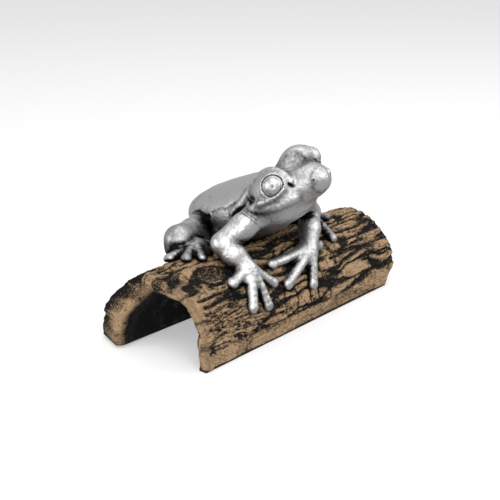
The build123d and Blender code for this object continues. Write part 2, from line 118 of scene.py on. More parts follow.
BROW_RADIUS, BROW_SETBACK, BROW_DROP = 7.5, 8.0, 4.0
BROW_DENT = ((28.5, 0.0, 13.4), (8.5, 6.0, 5.6))
EAR_PLACE, EAR_RADIUS = (13.2, -20.4, 1.2), 2.7
NOSTRIL_PLACE = (41.3, -5.4, 2.6)
NOSTRIL_SINK, NOSTRIL_RADIUS = 0.7, 1.45
NOSTRIL_OPENING_OUT, NOSTRIL_OPENING_RADIUS = 0.75, 0.85
BOSS_RADIUS, BOSS_Y, BOSS_RISE = 7.0, 5.0, 15.0
SCREW_RADIUS, SCREW_RISE = 2.1, 14.0
GLUE_GAP = 0.2
SEAM_LAP = 0.25

# Limbs: radii along each stretch, and heights over the bark
UPPER_ARM_RADII, FOREARM_RADII = (6.3, 6.1, 5.4), (5.4, 5.5, 4.3)
THIGH_RADII, SHANK_RADII, FOOT_RADII = (6.8, 6.4, 7.2), (7.0, 6.6, 4.2), (4.2, 3.9, 4.1)
KNEE_RAISE, SHANK_DROP = (0, 0, 0.4), (0, 0, 2.6)
WRIST_LIFT, SOLE_LIFT, KNUCKLE_LIFT = 4.2, 3.4, 2.4
PALM_RADII = (6.6, 6.0, 4.2)
DIGIT_LIFTS = ((0.0, 3.4), (0.34, 3.0), (0.67, 2.0), (1.0, 1.5))  # share of the digit's length, lift
DIGIT_ROOT_RADIUS, DIGIT_TIP_RADIUS = 3.2, 2.25
PAD_RADII, PAD_LIFT = (3.0, 2.8, 2.3), 1.5

# Silver: how far out each point looks for a crease of its piece, and for other pieces that close it in as
# painted shade.
# The hind legs get extra painted shade, growing away from the torso to its full amount at the given reach
CREASE_REACHES = (0.6, 1.2, 2.4)
SHADE_REACHES = (2.0, 5.0, 9.0, 14.0)
HIND_SHADE, HIND_SHADE_REACH = 0.3, 9.0

VOXEL = 0.4
LIMB_VOXEL = 0.3
LOG_ROWS = 300
INNER_GIRTH = 40
OUTER_PER_INNER = 6


# Frames and small vector helpers

def unit(v):
    v = np.asarray(v, float)
    return v / np.linalg.norm(v)


def length(v):
    return np.sqrt(np.einsum("...i,...i->...", v, v))


def smooth_step(value, low, high):
    t = np.clip((value - low) / (high - low), 0, 1)
    return t * t * (3 - 2 * t)


def log_half_width(x):
    share = 0.5 + x / LOG_LENGTH
    return (LOG_WIDTH[0] + (LOG_WIDTH[1] - LOG_WIDTH[0]) * share) / 2


def log_height(x):
    share = 0.5 + x / LOG_LENGTH
    return LOG_HEIGHT[0] + (LOG_HEIGHT[1] - LOG_HEIGHT[0]) * share


def bark_normal(x, angle):
    a = math.radians(angle)
    return unit((0, -math.sin(a) / log_half_width(x), math.cos(a) / (log_height(x) - LOG_FOOT)))


def on_bark(x, angle, lift=0.0):
    """Point on the bark, angle degrees from the ridge towards the near side, raised by lift."""
    a = math.radians(angle)
    rise = log_height(x) - LOG_FOOT
    point = np.array([x, LOG_Y - log_half_width(x) * math.sin(a), LOG_FOOT + rise * math.cos(a)])
    return point + lift * bark_normal(x, angle)


def over_ridge(x, y, above):
    """Bend of a limb over the log's ridge, from shares of the torso's length."""
    return np.array([x * TORSO_LENGTH, LOG_Y + y * TORSO_LENGTH, log_height(FROG_X) + above * TORSO_LENGTH])


FORWARD = np.array([0.0, -math.cos(FROG_PITCH), math.sin(FROG_PITCH)])
LEVEL_UP = np.array([0.0, math.sin(FROG_PITCH), math.cos(FROG_PITCH)])
LEFTWARD = math.cos(FROG_ROLL) * np.array([1.0, 0.0, 0.0]) + math.sin(FROG_ROLL) * LEVEL_UP
UPWARD = math.cos(FROG_ROLL) * LEVEL_UP - math.sin(FROG_ROLL) * np.array([1.0, 0.0, 0.0])
FROG_AXES = np.stack([FORWARD, LEFTWARD, UPWARD])
FROG_ORIGIN = np.array([FROG_X, LOG_Y + FROG_Y, log_height(FROG_X) + FROG_ABOVE_LOG])
SEAT_FAR_EDGE = math.degrees(math.asin((BOSS_Y + BOSS_RADIUS) / log_half_width(FROG_X)))
SEAT_Z = on_bark(FROG_X, -SEAT_FAR_EDGE)[2] - GLUE_GAP


def to_frog(p):
    return (p - FROG_ORIGIN) @ FROG_AXES.T


def from_frog(q):
    return FROG_ORIGIN + np.asarray(q, float) @ FROG_AXES


def mirrored(points, side):
    """Points of the frog's right side, on either side, in the frame's axes."""
    return from_frog(np.asarray(points, float) * (1, -side, 1))


# Distance fields: each takes points (n, 3) in millimetres and gives the signed distance to a form

def smooth_union(a, b, blend):
    h = np.clip(0.5 + 0.5 * (b - a) / blend, 0, 1)
    return b + (a - b) * h - blend * h * (1 - h)


def smooth_cut(a, b, blend):
    """Form a with form b taken away, its edge rounded by blend."""
    return -smooth_union(-a, b, blend)


def capsule(p, start, end, start_radius, end_radius):
    way = end - start
    h = np.clip(((p - start) @ way) / max(way @ way, 1e-9), 0, 1)
    return length(p - start - h[:, None] * way) - (start_radius + (end_radius - start_radius) * h)


def chain(p, points, radii, blend=0.8):
    """Round limb through the points, with one radius for each."""
    d = None
    for i in range(len(points) - 1):
        piece = capsule(p, points[i], points[i + 1], radii[i], radii[i + 1])
        d = piece if d is None else smooth_union(d, piece, blend)
    return d


def ellipsoid(p, centre, axes, radii):
    q = ((p - centre) @ np.asarray(axes).T) / radii
    k0 = length(q)
    k1 = length(q / radii)
    return k0 * (k0 - 1) / np.maximum(k1, 1e-6)


def ball(p, centre, radius):
    return length(p - centre) - radius


def ring(p, centre, axis, radius, thickness):
    q = p - centre
    along = q @ axis
    across = np.sqrt(np.maximum(length(q) ** 2 - along ** 2, 0)) - radius
    return np.hypot(along, across) - thickness


def joined_near(d, p, path, reach, join, form, blend):
    """Joins a small form to the field, worked out only within reach of the form's path."""
    path = np.atleast_2d(path)
    near = np.all((p > path.min(0) - reach) & (p < path.max(0) + reach), axis=1)
    if near.any():
        d[near] = join(d[near], form(p[near]), blend)
    return d


def rounded_path(points, steps=6):
    """Curve through the points, as a finer list of points."""
    points = np.asarray(points, float)
    padded = np.concatenate([[2 * points[0] - points[1]], points, [2 * points[-1] - points[-2]]])
    t = np.linspace(0, 1, steps, endpoint=False)[:, None]
    curve = []
    for a, b, c, e in zip(padded, padded[1:], padded[2:], padded[3:]):
        cubic = 3 * b - a - 3 * c + e
        curve.append(0.5 * (2 * b + (c - a) * t + (2 * a - 5 * b + 4 * c - e) * t ** 2 + cubic * t ** 3))
    return np.concatenate(curve + [points[-1:]])


def settled(field, points, rounds=6):
    """Moves points along the field's slope until they lie on its surface."""
    points = np.array(points, float)
    for _ in range(rounds):
        d = field(points)
        slope = np.stack([(field(points + e) - d) / 0.05 for e in np.eye(3) * 0.05], -1)
        points -= slope * (d / np.maximum((slope ** 2).sum(-1), 1e-6))[:, None]
    return points


# Limbs: roots, bends and paws in the same shares as the solids

def paw(share, angle):
    return share * TORSO_LENGTH, angle


def limb(root, side, bend, palm, tips, heel=None):
    forward, out, up = root
    place = from_frog((forward * TORSO_LENGTH, side * out * TORSO_WIDTH, up * TORSO_HEIGHT))
    tips = [paw(*tip) for tip in tips]
    return {"root": place, "bend": bend, "palm": paw(*palm), "tips": tips, "heel": heel}


SHOULDER = (0.12, 0.38, -0.24)
HIP = (-0.337, 0.244, -0.31)
LIMBS = {
    "right_foreleg": limb(
        SHOULDER, RIGHT, over_ridge(-0.39, -0.1, 0.086), (-0.345, 36.0),
        ((-0.465, 41.0), (-0.415, 64.0), (-0.308, 67.0), (-0.215, 52.0))),
    "left_foreleg": limb(
        SHOULDER, LEFT, over_ridge(0.325, -0.08, 0.088), (0.13, 39.0),
        ((-0.147, 38.0), (-0.115, 58.0), (0.07, 66.0), (0.25, 36.0))),
    "right_hind_leg": limb(
        HIP, RIGHT, over_ridge(-0.45, 0.15, 0.06), (-0.4, -14.0),
        ((-0.587, -12.0), (-0.545, 0.0), (-0.475, 6.0), (-0.397, 1.0), (-0.295, -8.0)),
        heel=over_ridge(-0.315, 0.295, 0.018)),
    "left_hind_leg": limb(
        HIP, LEFT, over_ridge(0.37, 0.155, 0.108), (0.39, -8.0),
        ((0.565, -16.0), (0.51, 7.0), (0.39, 34.0), (0.41, 8.0), (0.305, -14.0)),
        heel=over_ridge(0.27, 0.305, 0.018)),
}
# How far along a hind leg, and a foreleg, it meets its stub on the torso, and how far the seam leans
SEAM_AT = {True: 9.0, False: 4.6}
SEAM_TILT = {True: 0.0, False: 0.45}


def limb_upper(p, spec):
    """Upper arm or thigh, from inside the torso to the elbow or knee."""
    root, bend = spec["root"], spec["bend"]
    if spec["heel"] is None:
        return chain(p, [root, 0.6 * root + 0.4 * bend, bend], UPPER_ARM_RADII, 2.0)
    return chain(p, [root, 0.5 * root + 0.5 * bend, bend + KNEE_RAISE], THIGH_RADII, 2.0)


def past_seam(p, spec):
    """Distance beyond the plane across the upper limb where it meets the torso."""
    hind = spec["heel"] is not None
    way = unit(unit(spec["bend"] - spec["root"]) - (0, 0, SEAM_TILT[hind]))
    return (p - spec["root"]) @ way - SEAM_AT[hind]


# Torso and head

def log_field(p):
    """Outside of the log, without its relief."""
    half = log_half_width(p[:, 0])
    rise = log_height(p[:, 0]) - LOG_FOOT
    y, z = p[:, 1] - LOG_Y, p[:, 2] - LOG_FOOT
    k0 = np.hypot(y / half, z / rise)
    k1 = np.hypot(y / half ** 2, z / rise ** 2)
    arch = k0 * (k0 - 1) / np.maximum(k1, 1e-6)
    return np.where(z > 0, arch, np.abs(y) - half)


def smooth_table(xs, ys, count=300):
    """Values of a curve through (xs, ys), close together."""
    slopes = np.gradient(ys, xs)
    x = np.linspace(xs[0], xs[-1], count)
    i = np.clip(np.searchsorted(xs, x) - 1, 0, len(xs) - 2)
    h = xs[i + 1] - xs[i]
    t = (x - xs[i]) / h
    return x, ((2 * t ** 3 - 3 * t ** 2 + 1) * ys[i] + (t ** 3 - 2 * t ** 2 + t) * h * slopes[i]
               + (3 * t ** 2 - 2 * t ** 3) * ys[i + 1] + (t ** 3 - t ** 2) * h * slopes[i + 1])


SECTION_PLACES = TORSO_SECTIONS[:, 0] * TORSO_LENGTH
STATIONS, TORSO_MIDDLE = smooth_table(SECTION_PLACES, TORSO_SECTIONS[:, 1] * TORSO_HEIGHT)
TORSO_HALF_WIDTH = smooth_table(SECTION_PLACES, TORSO_SECTIONS[:, 2] * TORSO_WIDTH)[1]
TORSO_HALF_HEIGHT = smooth_table(SECTION_PLACES, TORSO_SECTIONS[:, 3] * TORSO_HEIGHT)[1]
TORSO_SLOPE = np.gradient((TORSO_HALF_WIDTH + TORSO_HALF_HEIGHT) / 2, STATIONS)


def torso_body(p):
    """Plain body: an oval section that changes along the frog."""
    q = to_frog(p)
    u = q[:, 0]
    half_width = np.interp(u, STATIONS, TORSO_HALF_WIDTH)
    half_height = np.interp(u, STATIONS, TORSO_HALF_HEIGHT)
    up = q[:, 2] - np.interp(u, STATIONS, TORSO_MIDDLE)
    k0 = np.hypot(q[:, 1] / half_width, up / half_height)
    k1 = np.hypot(q[:, 1] / half_width ** 2, up / half_height ** 2)
    side = k0 * (k0 - 1) / np.maximum(k1, 1e-6)
    side = side / np.sqrt(1 + np.interp(u, STATIONS, TORSO_SLOPE) ** 2)
    ends = np.maximum(u - STATIONS[-1], STATIONS[0] - u)
    return np.maximum(side, ends)


def eye_axis(side):
    return unit(0.6 * FORWARD + 0.78 * side * LEFTWARD + 0.2 * UPWARD)


def eye_centre(side):
    forward, out, up = EYE_PLACE
    return from_frog((forward, side * out, up + side * HEAD_TILT))


def lid_masses(d, p, side):
    """Dome behind one eye, its slope towards the neck, and the rim of the lid."""
    axis, centre = eye_axis(side), eye_centre(side)
    dome = centre - LID_SETBACK[side] * axis
    d = joined_near(d, p, dome, 16, smooth_union, lambda q: ball(q, dome, LID_RADIUS[side]), 4.5)
    brow = centre - BROW_SETBACK * FORWARD - BROW_DROP * (side * LEFTWARD + UPWARD)
    d = joined_near(d, p, brow, 16, smooth_union, lambda q: ball(q, brow, BROW_RADIUS), 5.0)
    rim = centre + LID_RIM_OUT * axis
    return joined_near(
        d, p, rim, 12, smooth_union, lambda q: ring(q, rim, axis, EYE_RADIUS, LID_RIM_THICKNESS), 1.1)


def torso_masses(p):
    """Body with its lids, snout and limb stubs, before the fine folds."""
    d = torso_body(p)
    for place, radii in (RUMP, BELLY, CHIN, SNOUT):
        d = smooth_union(d, ellipsoid(p, from_frog(place), FROG_AXES, radii), 3.0)
    for side in (RIGHT, LEFT):
        d = smooth_union(d, ellipsoid(p, mirrored(HAUNCH[0], side), FROG_AXES, HAUNCH[1]), 3.0)
        d = lid_masses(d, p, side)
    dent = from_frog(BROW_DENT[0])
    d = joined_near(d, p, dent, 16, smooth_cut, lambda q: ellipsoid(q, dent, FROG_AXES, BROW_DENT[1]), 2.5)
    for side in (RIGHT, LEFT):
        ear = mirrored(EAR_PLACE, side)
        d = joined_near(d, p, ear, 9, smooth_cut, lambda q: ball(q, ear, EAR_RADIUS), 2.0)
    for spec in LIMBS.values():
        reach = np.stack([spec["root"], 0.5 * spec["root"] + 0.5 * spec["bend"]])
        d = joined_near(
            d, p, reach, 14, smooth_union, lambda q: np.maximum(limb_upper(q, spec), past_seam(q, spec)), 3.0)
    return d


# Folds of the skin on the frog's right side: path, radius and blend.
# On the left the folds of the eye move up with it
BROW_RIDGE = (((19, -12.5, 11.5), (24, -11.5, 12), (29, -10.5, 9), (33, -10.5, 5)), 1.1, 2.6)
LOWER_LID = (((20, -17.5, 0), (23, -18, 0), (27, -17, 1), (31, -14.5, 3)), 0.8, 1.4)
EYE_CORNER = (((31.8, -11.3, 4.4), (33.2, -11.3, 3.4), (34.8, -10.8, 2.6)), 0.35, 0.6)
SKIN_RIDGES = (
    (((33.5, -11.4, -2.6), (28.7, -14.8, -3.2), (21.8, -17.9, -3.4), (15, -19, -3.2)), 1.1, 3.4),
    (((15, -14, 7.4), (13, -14, 7), (10, -14.5, 4), (5, -18, 0), (0, -19, -3.5)), 1.1, 2.8),
    (((20, -18, -0.5), (16, -19, -1.5), (13, -19, -3.5), (11.5, -18, -1)), 1.1, 2.0),
)
MOUTH = ((34, -11, -4.7), (28.7, -14.6, -5.2), (21.8, -17.7, -5.2), (14.2, -18.8, -4.6))
SKIN_GROOVES = (
    (MOUTH, 0.08, 0.5),
    (((1.4, -17.3, 0.7), (-5, -18.2, -1.4), (-9, -18, -0.6), (-15.6, -17.6, -2.4)), 0.22, 0.9),
    (((8.5, -18.5, -1.5), (6, -19, -4.5), (2.1, -19, -8.3), (-2, -18, -11)), 0.4, 1.0),
    (((-18, -17.5, -4), (-25, -15.5, -5), (-31, -13, -4)), 0.6, 1.2),
)
FOLDS = []
for side in (RIGHT, LEFT):
    with_eye = (0, 0, HEAD_TILT * (1 + side))
    unmoved = (0, 0, 0)
    lid_ridges = (BROW_RIDGE, LOWER_LID) if side == RIGHT else (LOWER_LID,)
    ridges = [(fold, with_eye) for fold in lid_ridges] + [(fold, unmoved) for fold in SKIN_RIDGES]
    grooves = [(EYE_CORNER, with_eye)] + [(fold, unmoved) for fold in SKIN_GROOVES]
    for join, folds in ((smooth_union, ridges), (smooth_cut, grooves)):
        for (path, radius, blend), lift in folds:
            line = rounded_path(mirrored(np.add(path, lift), side), 3)
            FOLDS.append((join, settled(torso_masses, line), radius, blend))


# Middles of the bump and of the opening of each nostril
NOSTRILS = {}
for side in (RIGHT, LEFT):
    outward = unit(0.7 * FORWARD + 0.7 * side * LEFTWARD + 0.2 * UPWARD)
    place = settled(torso_masses, mirrored([NOSTRIL_PLACE], side))[0]
    NOSTRILS[side] = place - NOSTRIL_SINK * outward, place + NOSTRIL_OPENING_OUT * outward


def torso_field(p):
    """Whole torso, with its folds, nostrils, eye sockets and the boss under the belly."""
    d = torso_masses(p)
    for join, path, radius, blend in FOLDS:
        d = joined_near(d, p, path, 6, join, lambda q: chain(q, path, [radius] * len(path), 0.3), blend)
    for side in (RIGHT, LEFT):
        bump, opening = NOSTRILS[side]
        d = joined_near(d, p, bump, 4, smooth_union, lambda q: ball(q, bump, NOSTRIL_RADIUS), 0.9)
        d = joined_near(d, p, opening, 4, smooth_cut, lambda q: ball(q, opening, NOSTRIL_OPENING_RADIUS), 0.3)
        d = np.maximum(d, -ball(p, eye_centre(side), EYE_RADIUS + EYE_CLEARANCE))
    d = np.maximum(d, GLUE_GAP - log_field(p))
    from_screw = np.hypot(p[:, 0] - FROG_X, p[:, 1] - LOG_Y - BOSS_Y)
    boss_ends = np.maximum(SEAT_Z - p[:, 2], p[:, 2] - SEAT_Z - BOSS_RISE)
    d = smooth_union(d, np.maximum(from_screw - BOSS_RADIUS, boss_ends), 1.5)
    return np.maximum(d, -np.maximum(from_screw - SCREW_RADIUS, p[:, 2] - SEAT_Z - SCREW_RISE))


# Hands, feet and whole limbs

def digit_path(root, tip):
    """Line of a finger or toe, arched over the bark from the palm to its tip."""
    way = np.subtract(tip, root)
    return np.array([on_bark(*(root + share * way), lift) for share, lift in DIGIT_LIFTS])


def digit(p, path, tip):
    """Finger or toe along its path, with a round pad at the tip."""
    line = rounded_path(path, 2)
    d = chain(p, line, np.linspace(DIGIT_ROOT_RADIUS, DIGIT_TIP_RADIUS, len(line)), 0.6)
    normal = bark_normal(*tip)
    along = unit(path[3] - path[2])
    axes = np.stack([along, np.cross(normal, along), normal])
    return smooth_union(d, ellipsoid(p, on_bark(*tip, PAD_LIFT), axes, PAD_RADII), 0.6)


def hand(d, p, palm, tips):
    """Adds the back of a hand or foot and its digits to the limb's field."""
    knuckles = 0.85 * np.array(palm) + 0.15 * np.mean(tips, axis=0)
    normal = bark_normal(*knuckles)
    axes = np.stack([(1.0, 0.0, 0.0), np.cross(normal, (1.0, 0.0, 0.0)), normal])
    middle = on_bark(*knuckles, KNUCKLE_LIFT)
    d = joined_near(d, p, middle, 14, smooth_union, lambda q: ellipsoid(q, middle, axes, PALM_RADII), 2.4)
    for tip in tips:
        path = digit_path(palm, tip)
        d = joined_near(d, p, path, 7, smooth_union, lambda q: digit(q, path, tip), 1.6)
    return d


def foreleg(p, spec):
    """Arm from its seam to the wrist."""
    bend, wrist = spec["bend"], on_bark(*spec["palm"], WRIST_LIFT)
    lower = chain(p, [bend, 0.55 * bend + 0.45 * wrist, wrist], FOREARM_RADII, 2.0)
    upper = np.maximum(limb_upper(p, spec), -SEAM_LAP - past_seam(p, spec))
    return smooth_union(upper, lower, 1.4)


def hind_leg(p, spec):
    """Leg from its seam over the knee and the heel to the sole."""
    bend, heel, sole = spec["bend"], spec["heel"], on_bark(*spec["palm"], SOLE_LIFT)
    shank = chain(p, [bend - SHANK_DROP, 0.5 * bend + 0.5 * heel, heel], SHANK_RADII, 2.0)
    foot = chain(p, [heel, 0.5 * heel + 0.5 * sole, sole], FOOT_RADII, 1.5)
    thigh = np.maximum(limb_upper(p, spec), -SEAM_LAP - past_seam(p, spec))
    return smooth_union(smooth_union(thigh, shank, 0.9), foot, 1.0)


def limb_field(name):
    """Field of one whole limb, trimmed to the bark and to the torso."""
    spec = LIMBS[name]
    form = foreleg if spec["heel"] is None else hind_leg

    def field(p):
        d = hand(form(p, spec), p, spec["palm"], spec["tips"])
        d = np.maximum(d, GLUE_GAP - log_field(p))
        return np.maximum(d, -SEAM_LAP - torso_field(p))

    return field


# Fields to meshes

def grid_points(low, step, shape):
    axes = [low[i] + step * np.arange(shape[i]) for i in range(3)]
    return np.stack(np.meshgrid(*axes, indexing="ij"), -1).reshape(-1, 3)


def sample_field(field, low, high, voxel):
    """Field on a fine grid: worked out in full only near the surface, which a coarse grid finds first."""
    coarse = 4
    shape = np.ceil((np.asarray(high) - low) / (voxel * coarse)).astype(int) + 1
    middle = np.asarray(low) + voxel * (coarse - 1) / 2
    rough = field(grid_points(middle, voxel * coarse, shape)).reshape(shape)
    values = rough.repeat(coarse, 0).repeat(coarse, 1).repeat(coarse, 2)
    near = np.abs(values) < voxel * coarse * 2.0
    index = np.argwhere(near)
    for part in np.array_split(np.arange(len(index)), max(1, len(index) // 400000)):
        values[tuple(index[part].T)] = field(low + voxel * index[part])
    return values


def surface_mesh(name, field, low, high, voxel):
    low = np.asarray(low, float)
    values = sample_field(field, low, high, voxel)
    limit = 3 * voxel
    grid = openvdb.FloatGrid(background=limit)
    grid.copyFromArray(np.ascontiguousarray(np.clip(values, -limit, limit), dtype=np.float32))
    points, triangles, quads = grid.convertToPolygons(isovalue=0.0, adaptivity=0.0)
    points = low + voxel * np.asarray(points, float)
    faces = [tuple(f) for f in triangles] + [tuple(f) for f in quads]
    return mesh_object(name, points, faces)


def mesh_object(name, points_mm, faces):
    mesh = bpy.data.meshes.new(name)
    mesh.from_pydata((np.asarray(points_mm) * MM).tolist(), [], faces)
    mesh.validate()
    mesh.shade_smooth()
    piece = bpy.data.objects.new(name, mesh)
    bpy.context.scene.collection.objects.link(piece)
    return piece


def points_of(piece):
    flat = np.empty(len(piece.data.vertices) * 3)
    piece.data.vertices.foreach_get("co", flat)
    return flat.reshape(-1, 3) / MM


def normals_of(piece):
    flat = np.empty(len(piece.data.vertices) * 3)
    piece.data.vertex_normals.foreach_get("vector", flat)
    return flat.reshape(-1, 3)


def store(piece, name, values):
    layer = piece.data.attributes.new(name, "FLOAT", "POINT")
    layer.data.foreach_set("value", np.asarray(values, dtype=np.float32))


def cad_box(node, margin=3.0):
    low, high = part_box(node)
    return np.array(low) / MM - margin, np.array(high) / MM + margin


LIMB_FIELDS = {name: limb_field(name) for name in LIMBS}
LIMB_BOXES = {name: cad_box(name) for name in LIMBS}


def limbs_field(p):
    """Distance to the nearest limb, worked out only round each limb's box."""
    d = np.full(len(p), 20.0)
    for name, (low, high) in LIMB_BOXES.items():
        inside = np.all((p > low - 6) & (p < high + 6), axis=1)
        if inside.any():
            d[inside] = np.minimum(d[inside], LIMB_FIELDS[name](p[inside]))
    return d


def store_hollows(piece, own_field, darkening=0.0):
    """How far each point lies in a crease of its own piece, and how closed in it is by the other pieces and
    the log, which darkens it as painted shade.
    """
    p, n = points_of(piece), normals_of(piece)
    crease = np.zeros(len(p))
    for reach in CREASE_REACHES:
        crease += np.clip(1 - own_field(p + reach * n) / reach, 0, 1) / len(CREASE_REACHES)
    store(piece, "crease", crease)
    # Extra painted shade on the hind legs: none at the torso, full at its reach from it
    shade = darkening * np.clip(torso_field(p) / HIND_SHADE_REACH, 0, 1)
    for reach in SHADE_REACHES:
        q = p + reach * n
        clear = np.minimum(np.minimum(torso_field(q), log_field(q)), limbs_field(q))
        shade += np.clip(1 - clear / reach, 0, 1) / len(SHADE_REACHES)
    store(piece, "shade", shade)


# Eyes

def eye_piece(side):
    """Bead with a faint iris inside a fine ring, turned about the eye's axis."""
    axis = eye_axis(side)
    across = unit(np.cross(axis, UPWARD))
    up = np.cross(across, axis)
    around = np.linspace(0, 2 * math.pi, 72, endpoint=False)
    angles = np.radians(np.linspace(0, 180, 64)[1:-1])
    iris = np.exp(-(angles / IRIS_ANGLE) ** 4)
    groove = np.exp(-((angles - EYE_RING_ANGLE) / 0.07) ** 2)
    radius = EYE_RADIUS - EYE_CARVING * groove - EYE_CARVING * iris
    darkening = EYE_RING_STAIN * np.exp(-((angles - EYE_RING_ANGLE) / 0.09) ** 2) + IRIS_STAIN * iris
    points = [eye_centre(side) + (EYE_RADIUS - EYE_CARVING) * axis]
    marks = [IRIS_STAIN]
    for a, r, mark in zip(angles, radius, darkening):
        for b in around:
            turned = math.cos(b) * across + math.sin(b) * up
            points.append(eye_centre(side) + r * (math.cos(a) * axis + math.sin(a) * turned))
            marks.append(mark)
    points.append(eye_centre(side) - EYE_RADIUS * axis)
    marks.append(0.0)
    count, rows = len(around), len(angles)
    last = 1 + (rows - 1) * count
    faces = []
    for j in range(count):
        k = (j + 1) % count
        faces.append((0, 1 + k, 1 + j))
        faces.append((last + j, last + k, len(points) - 1))
        for i in range(rows - 1):
            a, b = 1 + i * count, 1 + (i + 1) * count
            faces.append((a + j, a + k, b + k, b + j))
    piece = mesh_object("right_eye_bead" if side == RIGHT else "left_eye_bead", points, faces)
    store(piece, "crease", marks)
    store(piece, "shade", np.zeros(len(points)))
    return piece


# Log

def lip_x(y, z):
    """Where the broken left end lies, for a place on the end's outline."""
    near = np.array(NEAR_LIP)
    far = np.array(FAR_TEAR)
    up, near_back = smooth_table(near[:, 1], near[:, 0])
    out, far_back = smooth_table(far[:, 1], far[:, 0])
    near_x = LIP_SETBACK * np.interp(z / LOG_HEIGHT[0], up, near_back)
    far_x = NOTCH_DEPTH * np.interp((y - LOG_Y) / LOG_WIDTH[0], out, far_back)
    return LOG_LEFT + np.where(y < LOG_Y, near_x, far_x)


def arch_line(count):
    """Angles and foot drops from the near foot over the ridge to the far foot, evenly spread."""
    foot = max(2, count // 24)
    drop = np.linspace(1, 0, foot, endpoint=False)
    angle = np.linspace(90, -90, count - 2 * foot)
    angles = np.concatenate([np.full(foot, 90.0), angle, np.full(foot, -90.0)])
    drops = np.concatenate([drop, np.zeros(len(angle)), drop[::-1]])
    return angles, drops


def arch_points(x, angles, drops, near_margin, far_margin):
    """Outline across the log, moved outwards at the near wall and the ridge, and at the far wall."""
    near = LOG_Y - log_half_width(x) - near_margin
    far = LOG_Y + log_half_width(x) + far_margin
    rise = log_height(x) - LOG_FOOT + near_margin
    a = np.radians(angles)
    y = (near + far) / 2 - (far - near) / 2 * np.sin(a)
    z = LOG_FOOT + rise * np.cos(a) - drops * (LOG_FOOT - FELT_THICKNESS)
    return y, z


def furrow_mask(x, angle):
    """1 along the furrows and cracks of the bark, falling to 0 at their edges."""
    nearest = np.full(x.shape, 9.0)
    for middle, first, last in FURROWS:
        start, end = first * LOG_LENGTH / 2, last * LOG_LENGTH / 2
        bends = np.linspace(start, end, max(2, round((end - start) / FURROW_STRIDE) + 1))
        line = np.interp(x, bends, middle + FURROW_SWAY * np.sin(middle + bends / FURROW_STRIDE))
        beyond = np.maximum(0, np.maximum(start - x, x - end))
        nearest = np.minimum(nearest, np.hypot((angle - line) * MM_PER_DEGREE, beyond))
    for place, first, last in CRACKS:
        bends = np.linspace(first, last, max(2, round((last - first) / CRACK_STRIDE) + 1))
        line = np.interp(angle, bends, place * LOG_LENGTH / 2 + np.sin(bends))
        beyond = np.maximum(0, np.maximum(first - angle, angle - last)) * MM_PER_DEGREE
        nearest = np.minimum(nearest, np.hypot(x - line, beyond))
    return 1 - smooth_step(nearest, 0.2 * FURROW_HALF_WIDTH, FURROW_HALF_WIDTH)


def patch_distance(x, angle, place, reach):
    """1 on the edge of an oval patch of the bark, 0 at its middle."""
    return np.hypot((x - place[0]) / reach[0], (angle - place[1]) / reach[1])


def bark_places(x, angle):
    """Where the bark is fine, plain or knotted, how its grain runs and how far it swells, by place."""
    knot = patch_distance(x, angle, KNOT_PLACE, KNOT_REACH)
    around_knot = 1 - 1 / np.maximum(knot, 1.0) ** 2
    grain = (KNOT_PLACE[1] + (angle - KNOT_PLACE[1]) * around_knot) * MM_PER_DEGREE
    fine = 1 - smooth_step(patch_distance(x, angle, FINE_PLACE, FINE_REACH), 0.75, 1.05)
    plate = 1 - smooth_step(patch_distance(x, angle, PLATE_PLACE, PLATE_REACH), 0.8, 1.0)
    foot_band = smooth_step(np.abs(angle), 85.0, 88.0)
    past_ridge = smooth_step(-angle, 2, 6) * (1 - smooth_step(-angle, 30, 50))
    swell = -KNOT_DEPTH * (1 - smooth_step(knot, 0.3, 1.0)) + KNOT_RIM * np.exp(-((knot - 1.25) / 0.25) ** 2)
    swell -= LIP_HOLLOW * (1 - smooth_step(x, -50, -38)) * past_ridge
    swell += CORNER_SWELL * np.exp(-(patch_distance(x, angle, CORNER_PLACE, CORNER_REACH) ** 2))
    return {
        "along": x,
        "across": angle * MM_PER_DEGREE,
        "grain": grain,
        "furrow": furrow_mask(x, angle) * (1 - plate) * (1 - 0.5 * fine),
        "fine": fine,
        "plain": np.maximum(plate, 0.8 * foot_band),
        "knot": 1 - smooth_step(knot, 0.8, 1.05),
        "swell": swell,
    }


def log_ends(angles, drops):
    """Where the bark ends on the left and on the right, for each place round the arch."""
    end_y, end_z = arch_points(LOG_LEFT, angles, drops, 0, 0)
    nicks = 0.45 * np.sin(0.21 * angles) + 0.35 * np.sin(0.47 * angles + 1) + 0.3 * np.sin(0.93 * angles)
    left = lip_x(end_y, end_z) + 0.7 + nicks
    bulge = 1.6 * np.exp(-((np.abs(angles) - 66) / 20) ** 2)
    right = LOG_RIGHT - 0.6 - 0.3 * np.sin(0.37 * angles) + bulge
    right -= RIGHT_FOOT_SETBACK * smooth_step(np.abs(angles) + FOOT_ANGLE * drops, 74, 99) ** 2
    return left, right


def shell_faces(rows, cols):
    """Faces along the shell, and those of its two ends, from the bark to the tunnel."""
    index = np.arange(rows * cols).reshape(rows, cols)
    nxt = np.roll(index, -1, axis=1)
    faces = np.stack([index[:-1], index[1:], nxt[1:], nxt[:-1]], -1).reshape(-1, 4).tolist()
    for row, flip in ((0, False), (rows - 1, True)):
        for j in range(INNER_GIRTH):
            first = j * OUTER_PER_INNER
            face = index[row, first:first + OUTER_PER_INNER + 1].tolist()
            face += [index[row, cols - 2 - j], index[row, cols - 1 - j]]
            faces.append(face[::-1] if flip else face)
    return faces


